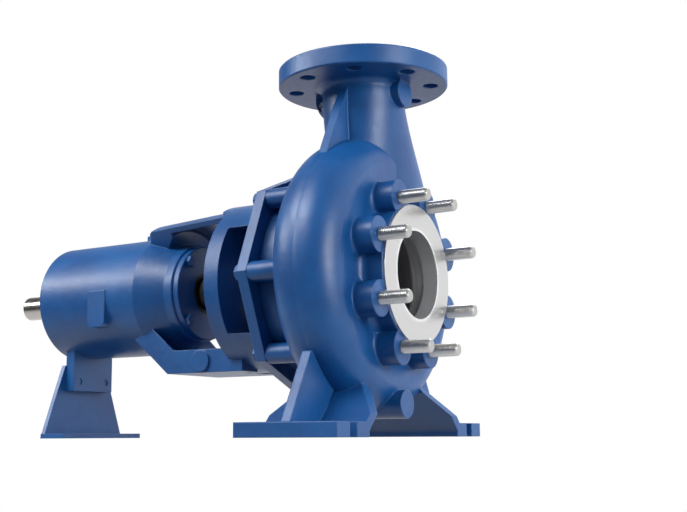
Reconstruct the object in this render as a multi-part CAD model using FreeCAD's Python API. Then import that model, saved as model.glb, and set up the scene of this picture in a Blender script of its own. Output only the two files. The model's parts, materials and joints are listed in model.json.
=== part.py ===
# End suction vortex pump on its own feet, with a bearing bracket that pulls out backwards.
# The frame: X runs along the shaft towards the suction flange, Z is up, and the origin lies on
# the floor, straight below the shaft and on the axis of the discharge branch. All sizes are in mm.
import FreeCAD
import Part
import os
from math import cos, pi, radians, sin, sqrt, tan

os.makedirs("parts", exist_ok=True)
V = FreeCAD.Vector

# Driving dimensions

# Duty sizes
SHAFT_HEIGHT = 180.0          # floor to shaft axis
DISCHARGE_RISE = 250.0        # shaft axis to the discharge face
SUCTION_REACH = 68.0          # discharge axis to the suction face
SHAFT_REACH = 540.0           # discharge axis to the tip of the shaft

# Suction connection, a stud pad flange
SUCTION_BORE = 100.0
SUCTION_FACE = 158.0          # outside of the machined ring
SUCTION_CIRCLE = 180.0
SUCTION_STUD = 16.0
STUD_COUNT = 8
STUD_STAND_OUT = 32.0         # stud beyond the suction face
STUD_ENGAGEMENT = 15.0
STUD_GRIP = 14.7              # stud in its hole, at the mean diameter of the thread
RING_STEP = 3.0               # machined ring in front of the bosses
SUCTION_BOSS = 40.0
BOSS_ROOT = 4.0               # root radius of the suction bosses

# Discharge flange
DISCHARGE_BORE = 80.0
DISCHARGE_FLANGE = 200.0
DISCHARGE_CIRCLE = 160.0
DISCHARGE_HOLE = 18.0
DISCHARGE_HOLES = 8
FLANGE_THICKNESS = 22.0
NECK_WALL = 8.0
NECK_ROOT = 9.0               # radius under the flange
NECK_ROUND = 14.0             # round part of the neck under the flange

# Volute shell
SHELL_RADIUS = 157.5          # crest of the shell
SHELL_LIFT = 4.0              # the scroll sits this much above the shaft axis
SHELL_HALF_WIDTH = 41.0
SHELL_ROUND = 30.0            # radial half height of the round rim
SHELL_WALL = 11.0
SHELL_OFFSET = 1.5            # rim centre in front of the discharge axis
FRONT_DISH = 4.0              # front wall behind the widest plane, at the hub
HUB_ROOT = 9.0

# Rear opening of the casing
REAR_FACE = 73.0              # rear face of the casing behind the discharge axis
REAR_HUB = 110.0              # outside radius of the rear hub
COVER_BORE = 104.0
CHAMBER_BORE = 96.0           # radius of the impeller chamber
COVER_STEP = 10.0             # depth of the cover seat
GASKET = 1.5

# Joint between casing and lantern
JOINT_CIRCLE = 248.0
JOINT_BOLT = 10.0
JOINT_HEAD = 16.0             # width across flats
JOINT_BOSS = 23.0
JOINT_COUNT = 8
PLATE_THICKNESS = 13.0
PLATE_EDGE = 12.5             # bolt axis to the plate's corner

# Casing feet
FOOT_SPAN = 345.0             # outside to outside across the pump
FOOT_WIDTH = 65.0
FOOT_LENGTH = 125.0
FOOT_THICKNESS = 16.0
SLOT_SPAN = 280.0
SLOT_PITCH = 95.0
SLOT_WIDTH = 15.0
WEB_THICKNESS = 11.0
WEB_STATION = 0.5             # middle of the cross webs along the shaft
FOOT_TOE = 1.5                # plate left outside the web's toe
FOOT_LIP = 6.5                # upright edge of the plate under the leaning web

# Lantern
LANTERN_RADIUS = 103.0
LANTERN_WALL = 11.0
LANTERN_END = 156.0           # rear face of the ring
RING_WIDTH = 20.0
RING_BORE = 46.0
WINDOW_HALF = 62.0            # half height of the side windows
BRACKET_SCREW = 10.0
BRACKET_CIRCLE = 164.0
SCREW_SPREAD = 15.0           # degrees to either side of the arm's middle

# Bearing bracket
HOUSING_RADIUS = 75.0
HOUSING_BORE = 37.0           # radius beside the bearings
SUMP_RADIUS = 61.0            # oil room between the bearings
HOUSING_END = 448.0           # drive end face
HOUSING_SHOULDER = 288.0      # where the cylinder ends and the nose starts
NOSE_RADIUS = 61.5
NOSE_START = 250.0            # where the cone ends and the nose is round again
NOSE_END = 237.0
ARM_THICKNESS = 28.0          # lower arm
ARM_WIDTH = 104.0
ARM_HOLLOW = 15.0             # wall left in the middle of the lower arm
ARM_BEND = 241.0              # where the lower arm bends
ARM_FOOT = 12.0               # thickness of the arms' feet on the ring
UPPER_ARM_RISE = 91.5         # crown radius of the upper arm at its root
UPPER_ARM_WALL = 7.0
UPPER_ARM_HALF = 33.0         # half angle in degrees
UPPER_ARM_ROOT = 281.0
ARM_BOSS_STATION = 198.0
ARM_BOSS = 26.0
OILER_PAD_WIDTH = 28.0
OILER_PAD_HEIGHT = 46.0
OILER_PAD_STATION = 347.0

# Bearings, one size at both ends
BEARING_BORE = 45.0
BEARING_OUTSIDE = 85.0
BEARING_WIDTH = 19.0
BALL = 12.7
BALL_COUNT = 9
PUMP_BEARING = 264.0          # rear face of the pump end bearing
DRIVE_BEARING = 436.0         # rear face of the drive end bearing
COVER_FLANGE = 118.0
COVER_THICKNESS = 8.0
COVER_SCREW = 8.0
COVER_SCREW_HEAD = 13.0
COVER_CIRCLE = 102.0
NUT_WIDTH = 9.0               # lock nut at the drive end
NUT_RADIUS = 29.0
LIP_SEAL_RADIUS = 27.0
DEFLECTOR_STATION = 216.0     # front of the splash ring on the shaft
DEFLECTOR_WIDTH = 8.0
DEFLECTOR_RADIUS = 23.0

# Breather plug on top of the housing
BREATHER_STATION = 313.0
BREATHER_RISE = 5.5           # top of its boss above the housing
BREATHER_HEIGHT = 5.5
BREATHER_RADIUS = 9.0

# Shaft line
SHAFT_END = 32.0
SHAFT_END_LENGTH = 80.0
KEYWAY_WIDTH = 10.0
KEYWAY_DEPTH = 5.0
KEYWAY_MARGIN = 9.0            # keyway to the end and to the shoulder
SHAFT_MIDDLE = 54.0
SHAFT_NECK = 38.0
NUT_THREAD = 40.0
SLEEVE_SEAT = 32.0
IMPELLER_SEAT = 28.0
CENTRE_SCREW = 12.0           # screw that holds the impeller
SLEEVE_WALL = 4.0

# Vortex impeller
IMPELLER_RADIUS = 91.0
IMPELLER_GAP = 2.5            # running gap behind the disc
DISC_THICKNESS = 8.0
KEY_WIDTH = 8.0
SCREW_DEPTH = 24.0
VANE_HEIGHT = 19.0
VANE_THICKNESS = 6.0
VANE_COUNT = 9
VANE_BOW = 0.16               # rise of the blade's curve over the impeller radius
IMPELLER_HUB = 26.0

# Casing cover and shaft seal
COVER_DISC = 13.0
SEAL_CHAMBER = 38.0
SEAL_HUB_WALL = 16.0
SEAL_CHAMBER_END = 114.0
SEAL_PLATE = 12.0
SEAL_SCREW_CIRCLE = 92.0
SEAL_COILS = 6
SEAL_SPRING_FRONT = -84.0

# Support foot
SUPPORT_STATION = 419.0       # front face of the lug
LUG_THICKNESS = 14.0
LUG_WIDTH = 73.0
LUG_BOTTOM = 61.5
SHEET = 6.0
SUPPORT_WIDTH = 148.0
SUPPORT_BASE = 40.0
SUPPORT_TOP = 95.0
SUPPORT_HOLE = 14.0
SUPPORT_BOLT = 8.0
SUPPORT_BOLT_SPAN = 49.0
SUPPORT_BOLT_HEIGHT = 74.0

# Clearances
SLIP = 0.05                   # radial, located diameters
PRESS = 0.0                   # radial, parts fixed to one another
HOLE_PLAY = 0.5               # radial, bolts in through holes
RUN = 0.4                     # turning parts beside fixed ones
SEAL_RUN = 0.3                # seal lips and seal faces beside turning parts
BALL_PLAY = 0.05              # radial, balls in their grooves

# Derived places along the shaft
AXIS = SHAFT_HEIGHT
PLATE_REAR = REAR_FACE + PLATE_THICKNESS
COVER_FRONT = REAR_FACE - COVER_DISC
DISC_REAR = COVER_FRONT - IMPELLER_GAP
DISC_FRONT = DISC_REAR - DISC_THICKNESS
VANE_FRONT = DISC_FRONT - VANE_HEIGHT
HUB_FRONT = VANE_FRONT + 4.0
HUB_REAR = DISC_REAR + 8.0
SLEEVE_END = LANTERN_END + 8.0
SEAL_BACK = SEAL_CHAMBER_END + SEAL_PLATE
SEAL_SPRING_REAR = -SEAL_CHAMBER_END + 19.0
RING_FRONT = LANTERN_END - RING_WIDTH
SEAL_HUB = SEAL_CHAMBER + SEAL_HUB_WALL
SLEEVE_RADIUS = SLEEVE_SEAT / 2 + SLEEVE_WALL
BREATHER_BOSS = AXIS + HOUSING_RADIUS + BREATHER_RISE
FOOT_OUTSIDE = FOOT_SPAN / 2
FOOT_INSIDE = FOOT_OUTSIDE - FOOT_WIDTH
BOSS_FACE = SUCTION_REACH - RING_STEP
WALL_FRONT = SHELL_OFFSET + SHELL_HALF_WIDTH - FRONT_DISH
RIM_CENTRE = SHELL_RADIUS - SHELL_ROUND


# Helpers

def at(x, angle, radius):
    """Point beside the shaft: angle in degrees from the near side, turning up."""
    return V(x, -radius * cos(radians(angle)), AXIS + radius * sin(radians(angle)))


def rod(x0, x1, radius, y=0.0, z=AXIS):
    """Cylinder along X between two stations."""
    low = min(x0, x1)
    return Part.makeCylinder(radius, abs(x1 - x0), V(low, y, z), V(1, 0, 0))


def tube(x0, x1, outer, inner):
    return rod(x0, x1, outer).cut(rod(min(x0, x1) - 1, max(x0, x1) + 1, inner))


def block(x0, x1, y0, y1, z0, z1):
    return Part.makeBox(x1 - x0, y1 - y0, z1 - z0, V(x0, y0, z0))


def spun(points):
    """Solid turned about the shaft from (station, radius) points; a three point entry is an arc."""
    edges = []
    here = None
    first = None
    for entry in points:
        if len(entry) == 2:
            end = V(entry[0], 0, entry[1])
            if here is not None and (end - here).Length > 1e-6:
                edges.append(Part.makeLine(here, end))
        else:
            end = V(entry[2], 0, entry[3])
            edges.append(Part.Arc(here, V(entry[0], 0, entry[1]), end).toShape())
        if first is None:
            first = end
        here = end
    if (first - here).Length > 1e-6:
        edges.append(Part.makeLine(here, first))
    solid = Part.makeSolid(Part.Face(Part.Wire(edges)).revolve(V(0, 0, 0), V(1, 0, 0), 360))
    solid.translate(V(0, 0, AXIS))
    return solid


def prism(points, direction):
    """Straight prism from a closed outline of vectors."""
    outline = Part.makePolygon(points + [points[0]])
    return Part.Face(outline).extrude(direction)


def hexagon(x0, x1, flats, y, z, turn=0.0):
    """Hexagonal prism along X, with the given width across flats."""
    corner = flats / 2 / cos(pi / 6)
    points = []
    for i in range(6):
        a = radians(60 * i + turn)
        points.append(V(x0, y + corner * cos(a), z + corner * sin(a)))
    return prism(points, V(x1 - x0, 0, 0))


def hex_bolt(seat, tip, size, flats, y, z):
    """Bolt along X: the head lies behind the seat, the shank runs forwards to the tip."""
    sense = 1 if tip > seat else -1
    head = 0.65 * size
    body = hexagon(seat, seat - sense * head, flats, y, z)
    crown = Part.makeCone(flats / 2 * 1.19, flats / 2 * 0.95, 0.12 * size,
                          V(seat - sense * (head - 0.12 * size), y, z), V(-sense, 0, 0))
    collar = rod(seat, seat - sense * (head - 0.12 * size), flats / 2 * 1.19, y, z)
    head_shape = body.common(collar.fuse(crown))
    nose = 0.1 * size
    shank = rod(seat, tip - sense * nose, size / 2, y, z)
    point = Part.makeCone(size / 2, size / 2 - nose, nose, V(tip - sense * nose, y, z), V(sense, 0, 0))
    return head_shape.fuse([shank, point]).removeSplitter()


def around(count, radius, make, start=0.0):
    """One piece for each place of a bolt circle about the shaft."""
    pieces = []
    for i in range(count):
        place = at(0, start + 360.0 * i / count, radius)
        pieces.append(make(place.y, place.z))
    return pieces


def save(name, shape):
    solids = shape if isinstance(shape, list) else [shape]
    flat = []
    for item in solids:
        flat.extend(item.Solids)
    result = flat[0] if len(flat) == 1 else Part.makeCompound(flat)
    result.exportStep("parts/" + name + ".step")
    print(name, "solids", len(flat), "volume cm3", round(sum(s.Volume for s in flat) / 1000, 1))


def union(shapes):
    return shapes[0].fuse(shapes[1:]) if len(shapes) > 1 else shapes[0]


# Volute casing

def shell_outside():
    """Round rim and slightly dished front wall, lifted over the shaft axis, with both hubs on the axis."""
    back = SHELL_OFFSET - SHELL_HALF_WIDTH
    front = SHELL_OFFSET + SHELL_HALF_WIDTH
    hub = SUCTION_FACE / 2 + 1.0
    quarter = sqrt(0.5)
    rim = spun([
        (back, 0.0), (back, RIM_CENTRE),
        (SHELL_OFFSET - SHELL_HALF_WIDTH * quarter, RIM_CENTRE + SHELL_ROUND * quarter,
         SHELL_OFFSET, SHELL_RADIUS),
        (SHELL_OFFSET + SHELL_HALF_WIDTH * quarter, RIM_CENTRE + SHELL_ROUND * quarter,
         front, RIM_CENTRE),
        (front, RIM_CENTRE - 6.0), (WALL_FRONT, hub + HUB_ROOT), (WALL_FRONT, 0.0)])
    rim.translate(V(0, 0, SHELL_LIFT))
    foot = WALL_FRONT - 2.0
    hubs = spun([
        (-REAR_FACE, 0.0), (-REAR_FACE, REAR_HUB), (back - 7.0, REAR_HUB),
        (back - 2.0, REAR_HUB + 2.0, back, REAR_HUB + 7.0), (back + 4.0, REAR_HUB + 7.0),
        (foot, hub + HUB_ROOT), (WALL_FRONT, hub + HUB_ROOT),
        (WALL_FRONT + HUB_ROOT * (1 - quarter), hub + HUB_ROOT * (1 - quarter),
         WALL_FRONT + HUB_ROOT, hub),
        (BOSS_FACE, hub), (BOSS_FACE, SUCTION_FACE / 2), (SUCTION_REACH, SUCTION_FACE / 2),
        (SUCTION_REACH, 0.0)])
    return [rim, hubs]


def shell_inside():
    """Waterway: suction bore with its relief groove, vortex chamber and impeller chamber."""
    back = SHELL_OFFSET - SHELL_HALF_WIDTH + SHELL_WALL
    front = WALL_FRONT - SHELL_WALL
    crest = SHELL_RADIUS - SHELL_WALL
    bore = SUCTION_BORE / 2
    quarter = sqrt(0.5)
    half = (front - back) / 2
    middle = (front + back) / 2
    rim = SHELL_ROUND - 4.0
    chamber = spun([
        (back, 0.0), (back, crest - rim),
        (middle - half * quarter, crest - rim + rim * quarter, middle, crest),
        (middle + half * quarter, crest - rim + rim * quarter, front, crest - rim),
        (front, 0.0)])
    chamber.translate(V(0, 0, SHELL_LIFT))
    bores = spun([
        (-REAR_FACE - 1, 0.0), (-REAR_FACE - 1, COVER_BORE), (-REAR_FACE + COVER_STEP, COVER_BORE),
        (-REAR_FACE + COVER_STEP, CHAMBER_BORE), (back - 6.0, CHAMBER_BORE),
        (back + 1.0, CHAMBER_BORE + 7.0), (front - 1.0, CHAMBER_BORE + 7.0),
        (front - 1.0, bore + 16.0), (front, bore + 16.0),
        (front + 10.0 * (1 - quarter), bore + 16.0 - 10.0 * quarter, front + 10.0, bore + 6.0),
        (SUCTION_REACH - 22.0, bore + 3.0), (SUCTION_REACH - 18.0, bore + 3.0),
        (SUCTION_REACH - 18.0, bore), (SUCTION_REACH + 1, bore), (SUCTION_REACH + 1, 0.0)])
    return [chamber, bores]


def ellipse(z, centre, along, across):
    """Flat ellipse: half width along the shaft and half width across the pump."""
    if across > along:
        curve = Part.Ellipse(V(0, centre + across, z), V(along, centre, z), V(0, centre, z))
    elif along > across:
        curve = Part.Ellipse(V(along, centre, z), V(0, centre + across, z), V(0, centre, z))
    else:
        curve = Part.Circle(V(0, centre, z), V(0, 0, 1), along)
    return Part.Wire(curve.toShape())


def neck(wall):
    """Discharge neck below its round top: it leans to the far side where the scroll leaves."""
    top = AXIS + DISCHARGE_RISE - FLANGE_THICKNESS
    inside = DISCHARGE_BORE / 2
    spread = SHELL_RADIUS - SHELL_WALL - inside
    levels = [(top - NECK_ROUND, 0.0, inside, inside),
              (top - 78.0, 0.20 * spread, inside, inside + 0.17 * spread),
              (top - 146.0, 0.49 * spread, inside - 4.0, inside + 0.32 * spread),
              (top - 183.0, 0.58 * spread, inside - 8.0, inside + 0.28 * spread)]
    return Part.makeLoft([ellipse(z, c, a + wall, b + wall) for z, c, a, b in levels], True, False)


def discharge_flange():
    """Flange with the round top of the neck and the rounded corner between them."""
    top = AXIS + DISCHARGE_RISE
    low = top - FLANGE_THICKNESS
    outer = DISCHARGE_BORE / 2 + NECK_WALL
    rim = DISCHARGE_FLANGE / 2
    quarter = sqrt(0.5)
    edges = [Part.makeLine(V(0, 0, top), V(rim - 1.2, 0, top)),
             Part.makeLine(V(rim - 1.2, 0, top), V(rim, 0, top - 1.2)),
             Part.makeLine(V(rim, 0, top - 1.2), V(rim, 0, low + 1.2)),
             Part.makeLine(V(rim, 0, low + 1.2), V(rim - 1.2, 0, low)),
             Part.makeLine(V(rim - 1.2, 0, low), V(outer + NECK_ROOT, 0, low)),
             Part.Arc(V(outer + NECK_ROOT, 0, low),
                      V(outer + NECK_ROOT * (1 - quarter), 0, low - NECK_ROOT * (1 - quarter)),
                      V(outer, 0, low - NECK_ROOT)).toShape(),
             Part.makeLine(V(outer, 0, low - NECK_ROOT), V(outer, 0, low - NECK_ROUND)),
             Part.makeLine(V(outer, 0, low - NECK_ROUND), V(0, 0, low - NECK_ROUND)),
             Part.makeLine(V(0, 0, low - NECK_ROUND), V(0, 0, top))]
    return Part.makeSolid(Part.Face(Part.Wire(edges)).revolve(V(0, 0, 0), V(0, 0, 1), 360))


def discharge_holes():
    low = AXIS + DISCHARGE_RISE - FLANGE_THICKNESS
    tools = []
    for i in range(DISCHARGE_HOLES):
        a = 2 * pi * (i + 0.5) / DISCHARGE_HOLES
        place = V(DISCHARGE_CIRCLE / 2 * cos(a), DISCHARGE_CIRCLE / 2 * sin(a), low - 30)
        tools.append(Part.makeCylinder(DISCHARGE_HOLE / 2, FLANGE_THICKNESS + 40, place))
    return tools


def suction_boss(y, z):
    """Stud boss with a rounded root on the front wall."""
    quarter = sqrt(0.5)
    r = SUCTION_BOSS / 2
    foot = WALL_FRONT - 6.0
    edges = [Part.makeLine(V(foot, 0, 0), V(foot, 0, r + BOSS_ROOT)),
             Part.makeLine(V(foot, 0, r + BOSS_ROOT), V(WALL_FRONT + 1.0, 0, r + BOSS_ROOT)),
             Part.Arc(V(WALL_FRONT + 1.0, 0, r + BOSS_ROOT),
                      V(WALL_FRONT + 1.0 + BOSS_ROOT * (1 - quarter), 0, r + BOSS_ROOT * (1 - quarter)),
                      V(WALL_FRONT + 1.0 + BOSS_ROOT, 0, r)).toShape(),
             Part.makeLine(V(WALL_FRONT + 1.0 + BOSS_ROOT, 0, r), V(BOSS_FACE, 0, r)),
             Part.makeLine(V(BOSS_FACE, 0, r), V(BOSS_FACE, 0, 0)),
             Part.makeLine(V(BOSS_FACE, 0, 0), V(foot, 0, 0))]
    boss = Part.makeSolid(Part.Face(Part.Wire(edges)).revolve(V(0, 0, 0), V(1, 0, 0), 360))
    boss.translate(V(0, y, z))
    return boss


def foot(side):
    """One cast foot: plate, cross web outside and a long web that leans in to the shell."""
    half = FOOT_LENGTH / 2
    y0, y1 = sorted((side * FOOT_INSIDE, side * FOOT_OUTSIDE))
    plate = block(-half, half, y0, y1, 0, FOOT_THICKNESS)
    toe = FOOT_OUTSIDE - FOOT_TOE
    x0 = WEB_STATION - WEB_THICKNESS / 2
    shell = V(0, side * SHELL_RADIUS * 0.82, AXIS - SHELL_RADIUS * 0.575)
    cross_web = prism([V(x0, side * toe, FOOT_THICKNESS - 1), V(x0, shell.y, shell.z),
                       V(x0, shell.y - side * 25, shell.z), V(x0, side * (FOOT_INSIDE - 33), 60),
                       V(x0, side * (FOOT_INSIDE + 4), FOOT_THICKNESS - 1)], V(WEB_THICKNESS, 0, 0))
    thick = WEB_THICKNESS * sqrt(2)
    rise = 44.0
    lean = prism([V(-half, side * FOOT_INSIDE, FOOT_LIP),
                  V(-half, side * (FOOT_INSIDE - rise), FOOT_LIP + rise),
                  V(-half, side * (FOOT_INSIDE - rise), FOOT_LIP + rise + thick),
                  V(-half, side * FOOT_INSIDE, FOOT_LIP + thick),
                  V(-half, side * (FOOT_INSIDE + thick - FOOT_THICKNESS + FOOT_LIP), FOOT_THICKNESS),
                  V(-half, side * (FOOT_INSIDE + thick), FOOT_LIP)], V(FOOT_LENGTH, 0, 0))
    top = FOOT_LIP + rise + thick
    shoulder = FOOT_THICKNESS + 8.0
    y2, y3 = sorted((side * (FOOT_INSIDE - rise - 5), side * (FOOT_INSIDE + 25)))
    ends = prism([V(-half, y2, 0), V(half, y2, 0), V(half, y2, shoulder), V(half - 36, y2, top),
                  V(-half + 36, y2, top), V(-half, y2, shoulder)], V(0, y3 - y2, 0))
    return [plate, cross_web, lean.common(ends)]


def foot_slots(side):
    """Open slots for the holding down bolts, two in each foot."""
    tools = []
    y = side * SLOT_SPAN / 2
    for end in (-1, 1):
        x = end * SLOT_PITCH / 2
        tools.append(Part.makeCylinder(SLOT_WIDTH / 2, FOOT_THICKNESS + 2, V(x, y, -1)))
        x0, x1 = sorted((x, end * (FOOT_LENGTH / 2 + 1)))
        tools.append(block(x0, x1, y - SLOT_WIDTH / 2, y + SLOT_WIDTH / 2, -1, FOOT_THICKNESS + 1))
    return tools


def neck_rib():
    """Web in the plane of the scroll, between the neck and the shell on the near side."""
    top = AXIS + DISCHARGE_RISE - FLANGE_THICKNESS
    x0 = WEB_STATION - WEB_THICKNESS / 2
    side = DISCHARGE_BORE / 2 + NECK_WALL
    return prism([V(x0, -side + 2, top - 8), V(x0, -side - 1.0, top - 14),
                  V(x0, -side - 21, top - 50), V(x0, -0.62 * SHELL_RADIUS, AXIS + 0.785 * SHELL_RADIUS),
                  V(x0, -0.54 * SHELL_RADIUS, AXIS + 0.6 * SHELL_RADIUS),
                  V(x0, -10, AXIS + 0.6 * SHELL_RADIUS), V(x0, -10, top - 8)], V(WEB_THICKNESS, 0, 0))


def lifting_eye():
    """Slim eye behind the neck, under the flange."""
    top = AXIS + DISCHARGE_RISE - FLANGE_THICKNESS
    near = DISCHARGE_BORE / 2 + NECK_WALL
    out = near + 15.0
    y0 = -4.0
    sweep = Part.Arc(V(-out, y0, top + 1), V(-out + 2.5, y0, top - 17), V(-near + 1, y0, top - 32))
    outline = [Part.makeLine(V(-near + 8, y0, top + 1), V(-out, y0, top + 1)), sweep.toShape(),
               Part.makeLine(V(-near + 1, y0, top - 32), V(-near + 8, y0, top - 32)),
               Part.makeLine(V(-near + 8, y0, top - 32), V(-near + 8, y0, top + 1))]
    plate = Part.Face(Part.Wire(outline)).extrude(V(0, 8, 0))
    eye = Part.makeCylinder(5.5, 30, V(-near - 6.5, y0 - 5, top - 13), V(0, 1, 0))
    return plate, eye


def volute_casing():
    half_joint = JOINT_CIRCLE / 2
    back = SHELL_OFFSET - SHELL_HALF_WIDTH
    body = shell_outside() + [neck(NECK_WALL), discharge_flange()]
    body += around(STUD_COUNT, SUCTION_CIRCLE / 2, suction_boss, 180.0 / STUD_COUNT)
    body += around(JOINT_COUNT, half_joint,
                   lambda y, z: rod(-REAR_FACE, back + 12, JOINT_BOSS / 2, y, z))
    for side in (-1, 1):
        body += foot(side)
    body.append(neck_rib())
    lug, eye = lifting_eye()
    body.append(lug)
    top = AXIS + DISCHARGE_RISE - FLANGE_THICKNESS
    body.append(rod(0, SUCTION_REACH - 12, 17.0, 0, top - 13))
    drain_height = AXIS - SHELL_RADIUS + 13.5
    body.append(rod(0, SUCTION_REACH - 16.5, 16.0, 0, drain_height))
    casing = union(body)
    tools = shell_inside() + [neck(0.0), eye]
    tools.append(Part.makeCylinder(DISCHARGE_BORE / 2, FLANGE_THICKNESS + NECK_ROUND + 1,
                                   V(0, 0, top - NECK_ROUND)))
    tools += discharge_holes()
    tools += around(STUD_COUNT, SUCTION_CIRCLE / 2,
                    lambda y, z: rod(BOSS_FACE - STUD_ENGAGEMENT - 2, BOSS_FACE + 1, STUD_GRIP / 2, y, z),
                    180.0 / STUD_COUNT)
    tools += around(JOINT_COUNT, half_joint,
                    lambda y, z: rod(-REAR_FACE - 1, -REAR_FACE + 22, JOINT_BOLT / 2, y, z))
    for side in (-1, 1):
        tools += foot_slots(side)
    return casing.cut(tools)


# Suction studs

def suction_studs():
    tip = SUCTION_REACH + STUD_STAND_OUT
    nose = 1.8

    def stud(y, z):
        grip = rod(BOSS_FACE - STUD_ENGAGEMENT, BOSS_FACE, STUD_GRIP / 2, y, z)
        shank = rod(BOSS_FACE, tip - nose, SUCTION_STUD / 2, y, z)
        point = Part.makeCone(SUCTION_STUD / 2, SUCTION_STUD / 2 - nose, nose, V(tip - nose, y, z),
                              V(1, 0, 0))
        return shank.fuse([grip, point])
    return around(STUD_COUNT, SUCTION_CIRCLE / 2, stud, 180.0 / STUD_COUNT)


# Lantern

def octagon(x0, x1, corner):
    points = [at(x0, 45.0 * i, corner) for i in range(8)]
    return prism(points, V(x1 - x0, 0, 0))


def lantern():
    """Octagonal plate, two bridges and the ring that carries the bearing bracket."""
    plate = octagon(-PLATE_REAR, -REAR_FACE, JOINT_CIRCLE / 2 + PLATE_EDGE)
    drum = rod(-LANTERN_END, -PLATE_REAR, LANTERN_RADIUS)
    body = plate.fuse(drum)
    hollow = rod(-RING_FRONT, -PLATE_REAR, LANTERN_RADIUS - LANTERN_WALL)
    bore = rod(-LANTERN_END - 1, -RING_FRONT + 1, RING_BORE)
    spigot = rod(-PLATE_REAR - 1, -REAR_FACE + 1, SEAL_HUB + 12.0)
    wide = LANTERN_RADIUS + 5
    window = block(-RING_FRONT, -PLATE_REAR, -wide, wide, AXIS - WINDOW_HALF, AXIS + WINDOW_HALF)
    window = window.makeFillet(2.0, [e for e in window.Edges
                                     if abs(e.Vertexes[0].Y - e.Vertexes[1].Y) > wide])
    tools = [hollow, bore, spigot, window]
    tools += around(JOINT_COUNT, JOINT_CIRCLE / 2,
                    lambda y, z: rod(-PLATE_REAR - 1, -REAR_FACE + 1, JOINT_BOLT / 2 + HOLE_PLAY, y, z))
    for y, z in bracket_screw_places():
        tools.append(rod(-LANTERN_END - 1, -RING_FRONT + 1, BRACKET_SCREW / 2 + HOLE_PLAY, y, z))
    body = body.cut(tools)
    for y, z in around(JOINT_COUNT, JOINT_CIRCLE / 2, lambda y, z: (y, z)):
        face = rod(-PLATE_REAR - 8, -PLATE_REAR, JOINT_HEAD * 0.75, y, z)
        body = body.cut(face)
    return body


def lantern_bolts():
    return around(JOINT_COUNT, JOINT_CIRCLE / 2,
                  lambda y, z: hex_bolt(-PLATE_REAR, -REAR_FACE + 18, JOINT_BOLT, JOINT_HEAD, y, z))


def bracket_screw_places():
    """Two screws at the top and two at the bottom of the ring."""
    places = []
    for middle in (90, 270):
        for side in (-1, 1):
            point = at(0, middle + side * SCREW_SPREAD, BRACKET_CIRCLE / 2)
            places.append((point.y, point.z))
    return places


# Bearing bracket

def lower_arm():
    """Dog leg arm under the shaft, hollowed along its inner side."""
    out = LANTERN_RADIUS
    inn = LANTERN_RADIUS - ARM_THICKNESS
    y0 = -ARM_WIDTH / 2
    slope = 44.0 / 52.0
    mitre = ARM_THICKNESS * 0.29
    rise = 0.43 * LANTERN_RADIUS
    root = -ARM_BEND - mitre - rise / slope
    outline = [V(-LANTERN_END, y0, AXIS - out), V(-ARM_BEND - mitre, y0, AXIS - out),
               V(root, y0, AXIS - out + rise), V(root + 26.0, y0, AXIS - out + rise + 15.0),
               V(-ARM_BEND, y0, AXIS - inn), V(-LANTERN_END, y0, AXIS - inn)]
    arm = prism(outline, V(0, ARM_WIDTH, 0))
    deep = out - ARM_HOLLOW
    hollow = spun([(-ARM_BEND - 50.0, 0.0), (-ARM_BEND - 50.0, deep - 28.0), (-ARM_BEND, deep),
                   (-LANTERN_END + 1, deep), (-LANTERN_END + 1, 0.0)])
    return arm.cut(hollow)


def arm_corners():
    """Lower corners of the arm, carried forward outside the ring of the lantern."""
    corners = []
    half = ARM_WIDTH / 2
    for side in (-1, 1):
        y0, y1 = sorted((side * half, side * half * 0.4))
        corner = block(-LANTERN_END - 4, -RING_FRONT - 1, y0, y1, AXIS - LANTERN_RADIUS, AXIS - half)
        corners.append(corner.cut(rod(-LANTERN_END - 5, -RING_FRONT, LANTERN_RADIUS)))
    return corners


def segment(x0, x1, outer0, outer1, wall, half_angle):
    """Piece of a conical wall about the shaft, centred on the top."""
    outer = spun([(x0, 0.0), (x0, outer0), (x1, outer1), (x1, 0.0)])
    inner = spun([(x0 - 1, 0.0), (x0 - 1, outer0 - wall), (x1 + 1, outer1 - wall), (x1 + 1, 0.0)])
    reach = 3 * max(outer0, outer1)
    wide = reach * tan(radians(half_angle))
    wedge = prism([V(x0 - 1, 0, AXIS), V(x0 - 1, -wide, AXIS + reach), V(x0 - 1, wide, AXIS + reach)],
                  V(x1 - x0 + 2, 0, 0))
    return outer.cut(inner).common(wedge)


def upper_arm():
    """Curved arm over the shaft, rising a little towards the ring, and its shoulder."""
    arm = segment(-UPPER_ARM_ROOT, -LANTERN_END, UPPER_ARM_RISE, LANTERN_RADIUS - 4.0,
                  UPPER_ARM_WALL, UPPER_ARM_HALF)
    inside = NOSE_RADIUS - 6.0
    shoulder = segment(-UPPER_ARM_ROOT - 9, -UPPER_ARM_ROOT, HOUSING_RADIUS - 3, UPPER_ARM_RISE,
                       HOUSING_RADIUS - 3 - inside, UPPER_ARM_HALF)
    front_end = -UPPER_ARM_ROOT + 30.0
    wedge = spun([(-UPPER_ARM_ROOT, inside), (-UPPER_ARM_ROOT, UPPER_ARM_RISE - 1.0),
                  (front_end, UPPER_ARM_RISE - 1.0), (front_end, UPPER_ARM_RISE - 11.0),
                  (front_end - 22.0, inside)])
    sector = segment(-UPPER_ARM_ROOT, front_end, 200.0, 200.0, 190.0, UPPER_ARM_HALF)
    return [arm, shoulder, wedge.common(sector)]


def arm_feet():
    """Pads at the ends of both arms, seated on the ring."""
    pads = []
    ring = tube(-LANTERN_END - ARM_FOOT, -LANTERN_END, LANTERN_RADIUS, RING_BORE + 3)
    half = ARM_WIDTH / 2 - 2.0
    for z0, z1 in ((AXIS - 200, AXIS), (AXIS, AXIS + 200)):
        pads.append(ring.common(block(-LANTERN_END - 50, -LANTERN_END, -half, half, z0, z1)))
    return pads


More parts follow.
